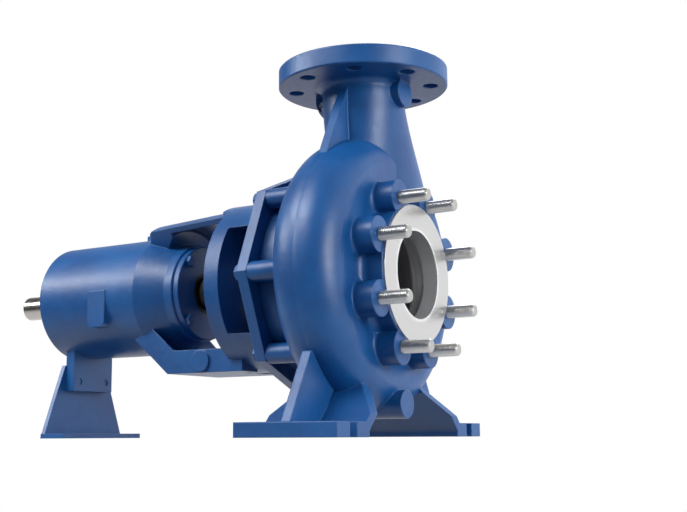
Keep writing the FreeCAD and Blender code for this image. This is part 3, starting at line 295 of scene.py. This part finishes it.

# %% [markdown]
# The enamel is a deep blue machine paint with a satin gloss. It is a little paler on edges, partly
# where it is rubbed thin and partly as a painted highlight, and a little darker in clouds where it
# lies thick. Its nodes stand in a function of their own, because the casing mixes the same paint
# with bare metal.

# %% Blue enamel
PAINT_THICK = (0.0030, 0.055, 0.200, 1.0)
PAINT_THIN = (0.0050, 0.082, 0.265, 1.0)
# paler paint on edges: rubbed thin, plus a painted highlight
PAINT_WORN_AND_HIGHLIT = (0.040, 0.13, 0.34, 1.0)
PAINT_GLOSS = 0.40            # the shader's roughness
GLOSS_SPREAD = 0.03


def enamel_nodes(tree, lumps, peel, radius):
    """Colour, gloss and normal of the enamel."""
    edge = place(tree, edges, Radius=radius, Rub=0.9)
    skin = place(tree, cast_skin, Lumps=lumps, Peel=peel)
    tree.links.new(edge.outputs["Normal"], skin.inputs["Normal"])
    clouds = remap(tree, skin.outputs["Tone"], 0.35, 0.65)
    body = blend(tree, "RGBA", clouds, PAINT_THICK, PAINT_THIN)
    # edges turn paler: worn paint and a painted highlight
    worn_and_highlit = blend(tree, "RGBA", edge.outputs["Mask"], body, PAINT_WORN_AND_HIGHLIT)
    gloss = maths(tree, "MULTIPLY_ADD", skin.outputs["Gloss"], GLOSS_SPREAD, PAINT_GLOSS)
    return worn_and_highlit, gloss, skin.outputs["Normal"]


def join(tree, shader, colour, gloss, normal):
    """Links the three outputs to the shader."""
    tree.links.new(colour, shader.inputs["Base Color"])
    tree.links.new(gloss, shader.inputs["Roughness"])
    tree.links.new(normal, shader.inputs["Normal"])


def make_enamel(name, lumps, peel, radius):
    material, tree, shader = new_material(name)
    join(tree, shader, *enamel_nodes(tree, lumps, peel, radius))
    shader.inputs["Coat Weight"].default_value = 0.05
    shader.inputs["Coat Roughness"].default_value = 0.25
    return material


enamel = make_enamel("blue enamel on castings", 0.35, 0.25, 0.0015)
enamel_smooth = make_enamel("blue enamel on fasteners and sheet", 0.08, 0.15, 0.0008)
print("enamel materials:", enamel.name, "|", enamel_smooth.name)

# %% [markdown]
# Shaft, sleeve and bearings are bare metal. One function makes them all: a colour that the tool's
# rings darken in streaks, and a gloss that changes with them. The studs get no Bevel radius, because
# their thread already has round crests in the mesh.

# %% Bare metals
def metal_nodes(tree, colour, shine, depth, fineness, radius):
    """Colour, gloss and normal of a turned metal face."""
    edge = place(tree, edges, Radius=radius, Rub=0.8)
    marks = place(tree, turning, Fineness=fineness, Depth=depth)
    tree.links.new(edge.outputs["Normal"], marks.inputs["Normal"])
    streak = marks.outputs["Streak"]
    dark = tuple(0.72 * part for part in colour[:3]) + (1.0,)
    body = blend(tree, "RGBA", streak, dark, colour)
    gloss = remap(tree, streak, 0.3, 0.7, shine - 0.07, shine + 0.07)
    return body, gloss, marks.outputs["Normal"]


def make_metal(name, colour, shine, depth, fineness=900.0, radius=0.0006):
    material, tree, shader = new_material(name)
    join(tree, shader, *metal_nodes(tree, colour, shine, depth, fineness, radius))
    shader.inputs["Metallic"].default_value = 1.0
    return material


turned = make_metal("turned steel", (0.52, 0.50, 0.47, 1.0), 0.22, 0.10)
bearing = make_metal("bearing steel", (0.66, 0.65, 0.63, 1.0), 0.16, 0.08)
iron = make_metal("bare cast iron", (0.30, 0.29, 0.28, 1.0), 0.45, 0.35, fineness=500.0)
stud_steel = make_metal("zinc plated stud", (0.62, 0.62, 0.61, 1.0), 0.31, 0.02, radius=0.0)
print("metals:", turned.name, "|", bearing.name, "|", iron.name, "|", stud_steel.name)

# %% [markdown]
# The casing is one casting with three finishes. Its suction ring, flange face and bores are machined
# bright, the waterway inside is raw iron, and everything else is enamelled. Separate materials would
# need the mesh cut up, so masks made from the place of a point pick the finish. The paint's edge
# along the ring wavers by a fraction of a millimetre, as masking tape leaves it.

# %% Masks of the machined faces
SOFT_EDGE = 0.0002            # half the width over which a mask changes
BORED_DEPTH = 0.024           # the suction mouth is bored this far in
BORED_MARGIN = 0.0032         # and its mask takes in the chamfer
NECK_DEPTH = 0.030
NECK_MARGIN = 0.0005


def beyond(tree, value, limit, width=SOFT_EDGE):
    """1 where the value is over the limit."""
    return remap(tree, value, limit - width, limit + width)


def under(tree, value, limit, width=SOFT_EDGE):
    return maths(tree, "SUBTRACT", 1.0, beyond(tree, value, limit, width))


def machined_masks(tree, parts, reach, side):
    """Mask of all machined faces, and of the suction bore alone."""
    waver = maths(tree, "MULTIPLY_ADD", grain(tree, 90.0, 2.0), 0.0008, -0.0004)
    ahead = maths(tree, "ADD", parts.outputs["X"], waver)
    ring = maths(tree, "MULTIPLY", beyond(tree, ahead, SUCTION_FACE - RING_STEP + 0.0002),
                 under(tree, reach, RING_RADIUS + 0.0004))
    bore = maths(tree, "MULTIPLY", beyond(tree, ahead, SUCTION_FACE - BORED_DEPTH),
                 under(tree, reach, SUCTION_BORE + BORED_MARGIN))
    from_neck = maths(tree, "MULTIPLY_ADD", parts.outputs["X"], parts.outputs["X"], side)
    neck = maths(tree, "MULTIPLY", beyond(tree, parts.outputs["Z"], DISCHARGE_FACE - NECK_DEPTH),
                 under(tree, from_neck, (DISCHARGE_BORE + NECK_MARGIN) ** 2, 0.00002))
    top = beyond(tree, parts.outputs["Z"], DISCHARGE_FACE - 0.0003, 0.0001)
    bare = maths(tree, "MAXIMUM", maths(tree, "MAXIMUM", ring, bore), maths(tree, "MAXIMUM", neck, top))
    return bare, bore


print("paint stops at radius", round(RING_RADIUS + 0.0004, 4), "around the suction")

# %% [markdown]
# The waterway's mask is three round bodies joined: the chamber, the throat behind the suction mouth
# and the seat of the casing cover. The chamber's body grows narrower toward the back, where the
# shell outside is round and would otherwise show a bare stripe.

# %% Mask of the raw waterway
THROAT_MARGIN = 0.018
BACK_START = 0.018            # from here on the chamber's mask narrows
BACK_SLOPE = 0.6


def raw_mask(tree, parts, reach, side, up):
    along = parts.outputs["X"]
    lifted = maths(tree, "SUBTRACT", up, SHELL_LIFT)
    spread = maths(tree, "SQRT", maths(tree, "MULTIPLY_ADD", lifted, lifted, side))
    rearward = maths(tree, "MINIMUM", maths(tree, "ADD", along, BACK_START), 0.0)
    inward = maths(tree, "MULTIPLY_ADD", rearward, -BACK_SLOPE, spread)
    length = maths(tree, "MULTIPLY", beyond(tree, along, -CHAMBER_HALF), under(tree, along, CHAMBER_HALF))
    chamber = maths(tree, "MULTIPLY", under(tree, inward, CHAMBER_RADIUS), length)
    throat = maths(tree, "MULTIPLY", under(tree, reach, SUCTION_BORE + THROAT_MARGIN),
                   beyond(tree, along, -CHAMBER_HALF))
    back = maths(tree, "MULTIPLY", under(tree, reach, BACK_RADIUS), under(tree, along, 0.0))
    return maths(tree, "MAXIMUM", maths(tree, "MAXIMUM", chamber, throat), back)


print("waterway mask reaches to radius", CHAMBER_RADIUS)

# %% [markdown]
# Now the three finishes are mixed by the two masks. Raw iron and the bored mouth aren't full metals
# in the shader: rust film and water stain make them partly dull, which keeps them grey in the shade.

# %% The casing's mixed finish
MACHINED = (0.80, 0.80, 0.80, 1.0)
RAW_IRON = (0.62, 0.62, 0.63, 1.0)
RAW_DULL = 0.7
BORE_DULL = 0.5


def make_casing():
    material, tree, shader = new_material("enamelled casing with machined faces")
    paint, paint_gloss, paint_normal = enamel_nodes(tree, 0.35, 0.25, 0.0022)
    metal, metal_gloss, metal_normal = metal_nodes(tree, MACHINED, 0.34, 0.16, 900.0, 0.0005)
    rough, rough_gloss, _ = metal_nodes(tree, RAW_IRON, 0.40, 0.30, 300.0, 0.0005)
    where = add(tree, "ShaderNodeTexCoord")
    parts = add(tree, "ShaderNodeSeparateXYZ")
    tree.links.new(where.outputs["Object"], parts.inputs[0])
    up = maths(tree, "SUBTRACT", parts.outputs["Z"], AXIS_HEIGHT)
    side = maths(tree, "MULTIPLY", parts.outputs["Y"], parts.outputs["Y"])
    reach = maths(tree, "SQRT", maths(tree, "MULTIPLY_ADD", up, up, side))
    bare, bore = machined_masks(tree, parts, reach, side)
    raw = maths(tree, "SUBTRACT", raw_mask(tree, parts, reach, side, up), bare, clamp=True)
    colour = blend(tree, "RGBA", raw, blend(tree, "RGBA", bare, paint, metal), rough)
    gloss = blend(tree, "FLOAT", raw, blend(tree, "FLOAT", bare, paint_gloss, metal_gloss), rough_gloss)
    join(tree, shader, colour, gloss, blend(tree, "VECTOR", bare, paint_normal, metal_normal))
    dull = maths(tree, "MAXIMUM", maths(tree, "MULTIPLY", raw, RAW_DULL),
                 maths(tree, "MULTIPLY", bore, BORE_DULL))
    metallic = maths(tree, "SUBTRACT", maths(tree, "MAXIMUM", bare, raw), dull, clamp=True)
    tree.links.new(metallic, shader.inputs["Metallic"])
    return material


casing_finish = make_casing()
print("casing finish nodes:", len(casing_finish.node_tree.nodes))

# %% [markdown]
# Small trim needs few words. Rubber, plastic and carbon get a matt skin with a fine grain, and the
# fibre of the gasket gets a coarser one. All four come from one function.

# %% Matt materials
def make_matt(name, colour, shine, scale, depth):
    material, tree, shader = new_material(name)
    edge = place(tree, edges, Radius=0.0005, Rub=0.3)
    noise = grain(tree, scale, 4.0, 0.65)
    light = tuple(min(1.0, 1.8 * part + 0.004) for part in colour[:3]) + (1.0,)
    body = blend(tree, "RGBA", noise, colour, light)
    gloss = remap(tree, noise, 0.3, 0.7, shine - 0.08, shine + 0.08)
    join(tree, shader, body, gloss, bump(tree, 0.0002, depth, noise, edge.outputs["Normal"]))
    return material


rubber = make_matt("seal rubber", (0.010, 0.010, 0.011, 1.0), 0.55, 700.0, 0.3)
plug_black = make_matt("black plug", (0.012, 0.012, 0.013, 1.0), 0.42, 500.0, 0.2)
fibre = make_matt("gasket fibre", (0.09, 0.085, 0.075, 1.0), 0.85, 350.0, 0.6)
carbon = make_matt("carbon seal ring", (0.018, 0.018, 0.020, 1.0), 0.30, 900.0, 0.1)
print("matt:", rubber.name, "|", plug_black.name, "|", fibre.name, "|", carbon.name)

# %% [markdown]
# Every CAD node now gets its finish by name. Nodes that aren't listed would keep the grey of the
# import, so the cell stops if one is left over.

# %% Finishes of the CAD nodes
FINISHES = {
    casing_finish: ["volute_casing"],
    enamel: ["lantern", "bearing_bracket", "casing_cover"],
    enamel_smooth: ["lantern_bolts", "bracket_screws", "support_foot", "support_bolts",
                    "bearing_cover_pump_end", "bearing_cover_drive_end",
                    "bearing_cover_screws_pump_end", "bearing_cover_screws_drive_end"],
    turned: ["shaft", "shaft_sleeve", "seal_collar", "seal_cover", "seal_spring",
             "seal_cover_screws", "lock_nut", "impeller_key", "impeller_screw"],
    stud_steel: ["suction_studs"],
    bearing: ["bearing_outer_ring_pump_end", "bearing_inner_ring_pump_end", "ball_set_pump_end",
              "bearing_outer_ring_drive_end", "bearing_inner_ring_drive_end", "ball_set_drive_end"],
    iron: ["impeller"],
    rubber: ["lip_seal_pump_end", "lip_seal_drive_end", "deflector"],
    plug_black: ["breather_plug"],
    fibre: ["casing_gasket"],
    carbon: ["seal_face", "seal_seat"],
}
finished = set()
for finish, names in FINISHES.items():
    for name in names:
        mesh = nodes[name].data
        mesh.materials.clear()
        mesh.materials.append(finish)
        finished.add(name)
missing = sorted(set(nodes) - finished)
print("finished nodes:", len(finished), "left over:", missing)
assert not missing

# %% [markdown]
# The studs of the frame are plain cylinders. A bump map would leave their outline smooth, so each
# gets a real thread: a grid of points wound round the stud's axis, whose radius follows a cosine
# wave along the helix. At the tip the radius shrinks to a chamfer.

# %% Threaded studs
THREAD_CREST = 0.94           # rolled crests stand a little below the nominal size
PITCH = 0.002
THREAD_DEPTH = 0.22 * PITCH
CHAMFER_LENGTH = 0.0022
CHAMFER_DEPTH = 0.0016
POINTS_ROUND = 40
ROWS_PER_PITCH = 8


def stud_radius(x, high, turn):
    """Radius at the place x on the side that lies this share of a turn round."""
    phase = (x / PITCH - turn) % 1.0
    crest = THREAD_CREST * STUD_RADIUS
    chamfer = min(1.0, max(0.0, (high - x) / CHAMFER_LENGTH))
    thread = crest - THREAD_DEPTH * (0.5 + 0.5 * cos(2 * pi * phase))
    return min(thread, crest - CHAMFER_DEPTH * (1.0 - chamfer))


def stud_mesh(name, low, high, places):
    rows = int(round((high - low) / PITCH * ROWS_PER_PITCH)) + 1
    verts, faces = [], []
    for place_y, place_z in places:
        base = len(verts)
        for row in range(rows):
            x = low + (high - low) * row / (rows - 1)
            for k in range(POINTS_ROUND):
                r = stud_radius(x, high, k / POINTS_ROUND)
                angle = 2 * pi * k / POINTS_ROUND
                verts.append((x, place_y + r * cos(angle), place_z + r * sin(angle)))
        for row in range(rows - 1):
            a = base + row * POINTS_ROUND
            b = a + POINTS_ROUND
            for k in range(POINTS_ROUND):
                n = (k + 1) % POINTS_ROUND
                faces.append((a + k, b + k, b + n, a + n))
        last = base + (rows - 1) * POINTS_ROUND
        faces.append(tuple(base + k for k in range(POINTS_ROUND)))
        faces.append(tuple(last + POINTS_ROUND - 1 - k for k in range(POINTS_ROUND)))
    mesh = bpy.data.meshes.new(name)
    mesh.from_pydata(verts, [], faces)
    mesh.validate()
    mesh.update()
    return mesh


stud_places = []
for i in range(STUD_COUNT):
    angle = 2 * pi * (i + 0.5) / STUD_COUNT
    stud_places.append((-STUD_CIRCLE * cos(angle), AXIS_HEIGHT + STUD_CIRCLE * sin(angle)))
print("stud places:", len(stud_places))

# %% [markdown]
# The threaded piece takes the place of the plain studs. It rides on the still body, since studs
# don't turn, and keeps their material slot.

# %% Place the studs
studs = bpy.data.objects.new("threaded_studs", stud_mesh(
    "threaded_studs", SUCTION_FACE - RING_STEP - 0.001, STUD_TIP, stud_places))
bpy.context.scene.collection.objects.link(studs)
studs.data.materials.append(stud_steel)
for polygon in studs.data.polygons:
    polygon.use_smooth = len(polygon.vertices) == 4
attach(studs, "pump_frame")
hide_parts("suction_studs")
print("thread points:", len(studs.data.vertices), "faces:", len(studs.data.polygons))

# %% [markdown]
# The photo has no horizon: floor and wall are pure white. The camera sees the floor as white, while
# the part gets only a dim bounce from it. Gloss sees a third floor, bright beneath and behind the
# pump and dark in front of it, since that is where a photographer hangs black cloth. Light Path tells
# the kinds of ray apart.

# %% Floor
FLOOR_HALF = 30.0
FLOOR_BOUNCE = (0.16, 0.17, 0.19, 1.0)
WHITE = (1.0, 1.0, 1.0, 1.0)


def make_floor():
    mesh = bpy.data.meshes.new("studio_floor")
    corners = [(-FLOOR_HALF, -FLOOR_HALF, 0), (FLOOR_HALF, -FLOOR_HALF, 0),
               (FLOOR_HALF, FLOOR_HALF, 0), (-FLOOR_HALF, FLOOR_HALF, 0)]
    mesh.from_pydata(corners, [], [(0, 1, 2, 3)])
    floor = bpy.data.objects.new("studio_floor", mesh)
    bpy.context.scene.collection.objects.link(floor)
    material = bpy.data.materials.new("studio white floor")
    material.use_nodes = True
    tree = material.node_tree
    tree.nodes.clear()
    link = tree.links.new
    path = add(tree, "ShaderNodeLightPath")
    where = add(tree, "ShaderNodeTexCoord")
    parts = add(tree, "ShaderNodeSeparateXYZ")
    link(where.outputs["Object"], parts.inputs[0])
    behind = remap(tree, parts.outputs["Y"], -0.62, -0.15, 0.08, 1.0)
    white = add(tree, "ShaderNodeEmission", {"Color": WHITE})
    link(maths(tree, "MAXIMUM", behind, path.outputs["Is Camera Ray"]), white.inputs["Strength"])
    dull = add(tree, "ShaderNodeBsdfDiffuse", {"Color": FLOOR_BOUNCE})
    pick = add(tree, "ShaderNodeMixShader")
    link(maths(tree, "MAXIMUM", path.outputs["Is Camera Ray"], path.outputs["Is Glossy Ray"]),
         pick.inputs[0])
    link(dull.outputs[0], pick.inputs[1])
    link(white.outputs[0], pick.inputs[2])
    output = add(tree, "ShaderNodeOutputMaterial")
    link(pick.outputs[0], output.inputs["Surface"])
    mesh.materials.append(material)
    floor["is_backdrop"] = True
    return floor


print("floor:", make_floor().name)

# %% [markdown]
# The surround works alike. To the camera it is white, for soft light it is a grey room with a paler
# ceiling, and for gloss it runs from dark on the camera's left to white on the far right. That
# gradient gives the bright suction ring, the dark left side of the shell and the soft bands between.

# %% Surround
ROOM_LOW = (0.16, 0.18, 0.20, 1.0)
ROOM_HIGH = (0.42, 0.45, 0.50, 1.0)
BRIGHT_SIDE = (0.53, 0.85, 0.0)   # where the studio is bright for gloss


def make_surround():
    world = bpy.data.worlds.new("studio surround")
    bpy.context.scene.world = world
    world.use_nodes = True
    tree = world.node_tree
    tree.nodes.clear()
    link = tree.links.new
    path = add(tree, "ShaderNodeLightPath")
    where = add(tree, "ShaderNodeTexCoord")
    parts = add(tree, "ShaderNodeSeparateXYZ")
    link(where.outputs["Generated"], parts.inputs[0])
    rise = remap(tree, parts.outputs["Z"], -0.2, 0.9)
    soft = add(tree, "ShaderNodeBackground", {"Strength": 1.0})
    link(blend(tree, "RGBA", rise, ROOM_LOW, ROOM_HIGH), soft.inputs["Color"])
    away = add(tree, "ShaderNodeVectorMath", {1: BRIGHT_SIDE}, operation="DOT_PRODUCT")
    link(where.outputs["Generated"], away.inputs[0])
    mirror = add(tree, "ShaderNodeBackground", {"Color": WHITE})
    link(remap(tree, away.outputs["Value"], -0.30, 0.80, 0.10, 1.0), mirror.inputs["Strength"])
    glossy = add(tree, "ShaderNodeMixShader")
    link(path.outputs["Is Glossy Ray"], glossy.inputs[0])
    link(soft.outputs[0], glossy.inputs[1])
    link(mirror.outputs[0], glossy.inputs[2])
    white = add(tree, "ShaderNodeBackground", {"Color": WHITE, "Strength": 1.0})
    pick = add(tree, "ShaderNodeMixShader")
    link(path.outputs["Is Camera Ray"], pick.inputs[0])
    link(glossy.outputs[0], pick.inputs[1])
    link(white.outputs[0], pick.inputs[2])
    output = add(tree, "ShaderNodeOutputWorld")
    link(pick.outputs[0], output.inputs["Surface"])
    return world


print("surround:", make_surround().name)

# %% [markdown]
# Five soft boxes light the pump. The key hangs high on the near side, and a long low one on the left
# draws the light band along the bearing housing. A low one to the right lights the suction face, a
# small one on the far right reaches the sheet of the support foot, and one behind lifts the upper
# edges off the background.

# %% Lights
def soft_box(name, where, target, size, power):
    data = bpy.data.lights.new(name, "AREA")
    data.shape = "RECTANGLE"
    data.size, data.size_y = size
    data.energy = power
    light = bpy.data.objects.new(name, data)
    bpy.context.scene.collection.objects.link(light)
    light.location = where
    light.rotation_euler = (Vector(target) - Vector(where)).to_track_quat("-Z", "Y").to_euler()
    return light


key = soft_box("key", (-0.9, -1.7, 2.0), (-0.15, 0.0, 0.2), (1.6, 0.9), 60.0)
right_fill = soft_box("right_fill", (2.2, -0.6, 0.6), (0.0, 0.0, 0.2), (1.0, 1.0), 38.0)
band = soft_box("band", (-2.00, -1.25, 1.22), (-0.38, 0.0, 0.18), (1.4, 0.40), 26.0)
far_fill = soft_box("far_fill", (0.9, 1.1, 0.5), (-0.35, 0.0, 0.10), (1.0, 0.8), 14.0)
far_fill.visible_glossy = False   # it lifts the paint, and the bright ring doesn't mirror it
back_rim = soft_box("back_rim", (-0.4, 1.6, 1.9), (-0.1, 0.0, 0.25), (1.6, 0.6), 25.0)
print("lights:", [(box.name, box.data.energy) for box in (key, right_fill, band, far_fill, back_rim)])

# %% [markdown]
# The camera stands where the photographer stood: almost on the floor, about one and a quarter metres
# away, and looking a little upwards. Its place and lens come from fitting the solids to the photo,
# and are given here in the photo's pixels.

# %% Camera
EYE = Vector((0.622275, -1.116327, 0.0014956))
YAW, PITCH_UP, ROLL = 0.559507, 0.160312, -0.0049407
IMAGE_WIDTH = 687
FOCAL_PIXELS = 1113.556
CENTRE_PIXEL = 309.0          # the lens looks at this column of the photo
SENSOR = 36.0

ahead = Vector((-sin(YAW) * cos(PITCH_UP), cos(YAW) * cos(PITCH_UP), sin(PITCH_UP)))
right = Vector((cos(YAW), sin(YAW), 0.0))
above = right.cross(ahead)
side = right * cos(ROLL) + above * sin(ROLL)
rise = above * cos(ROLL) - right * sin(ROLL)
camera_data = bpy.data.cameras.new("photo_camera")
camera_data.sensor_width = SENSOR
camera_data.lens = FOCAL_PIXELS * SENSOR / IMAGE_WIDTH
camera_data.shift_x = (IMAGE_WIDTH / 2 - CENTRE_PIXEL) / IMAGE_WIDTH
camera_data.clip_start = 0.01
camera = bpy.data.objects.new("photo_camera", camera_data)
bpy.context.scene.collection.objects.link(camera)
camera.matrix_world = Matrix((
    (side.x, rise.x, -ahead.x, EYE.x),
    (side.y, rise.y, -ahead.y, EYE.y),
    (side.z, rise.z, -ahead.z, EYE.z),
    (0.0, 0.0, 0.0, 1.0)))
bpy.context.scene.camera = camera
bpy.context.scene.view_settings.view_transform = "Standard"
print("lens mm:", round(camera_data.lens, 2))

# %% Sizes and finish
visual_box = [list(corner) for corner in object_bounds()]
spans = [[box[1][k] - box[0][k] for k in range(3)] for box in (cad_box, visual_box)]
print("visual box grows by mm:", [round(1000 * (new - old), 2) for old, new in zip(*spans)])
